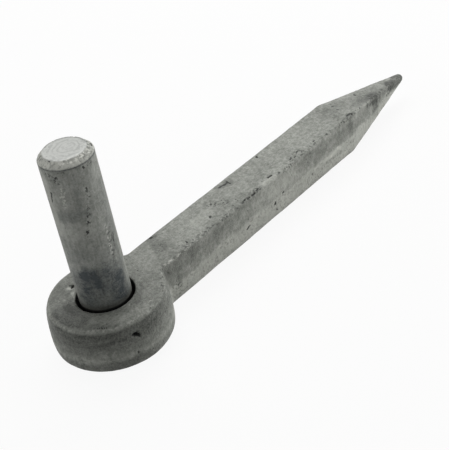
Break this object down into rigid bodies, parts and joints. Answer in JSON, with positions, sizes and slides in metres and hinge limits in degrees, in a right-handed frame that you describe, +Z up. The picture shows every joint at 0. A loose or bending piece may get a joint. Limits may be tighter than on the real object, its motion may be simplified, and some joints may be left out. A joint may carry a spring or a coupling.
{
  "type": "gate hinge pin",
  "caption": "Drive-in gate hinge pin: a square shank with a sharp point and a round eye, and a chamfered round pin standing upright in the eye.",
  "frame": {"origin": "on the pin's axis, level with the eye's top face, where the gate strap's eye bears", "axes": "+Z up along the pin to its chamfered top, +X along the shank to its point"},
  "size_m": [0.22, 0.047, 0.0825],
  "materials": {
    "galvanised_forging": "hot-dip zinc, dull greenish grey, mottled, with pits and dark stains",
    "galvanised_pin": "hot-dip zinc over a turned bar, dull grey with upright streaks, brighter on the top",
    "galvanised_weld": "rippled weld under hot-dip zinc"
  },
  "bodies": {
    "root": {"drive_spike": "galvanised_forging", "hinge_pin": "galvanised_pin", "pin_weld": "galvanised_weld"}
  },
  "joints": []
}
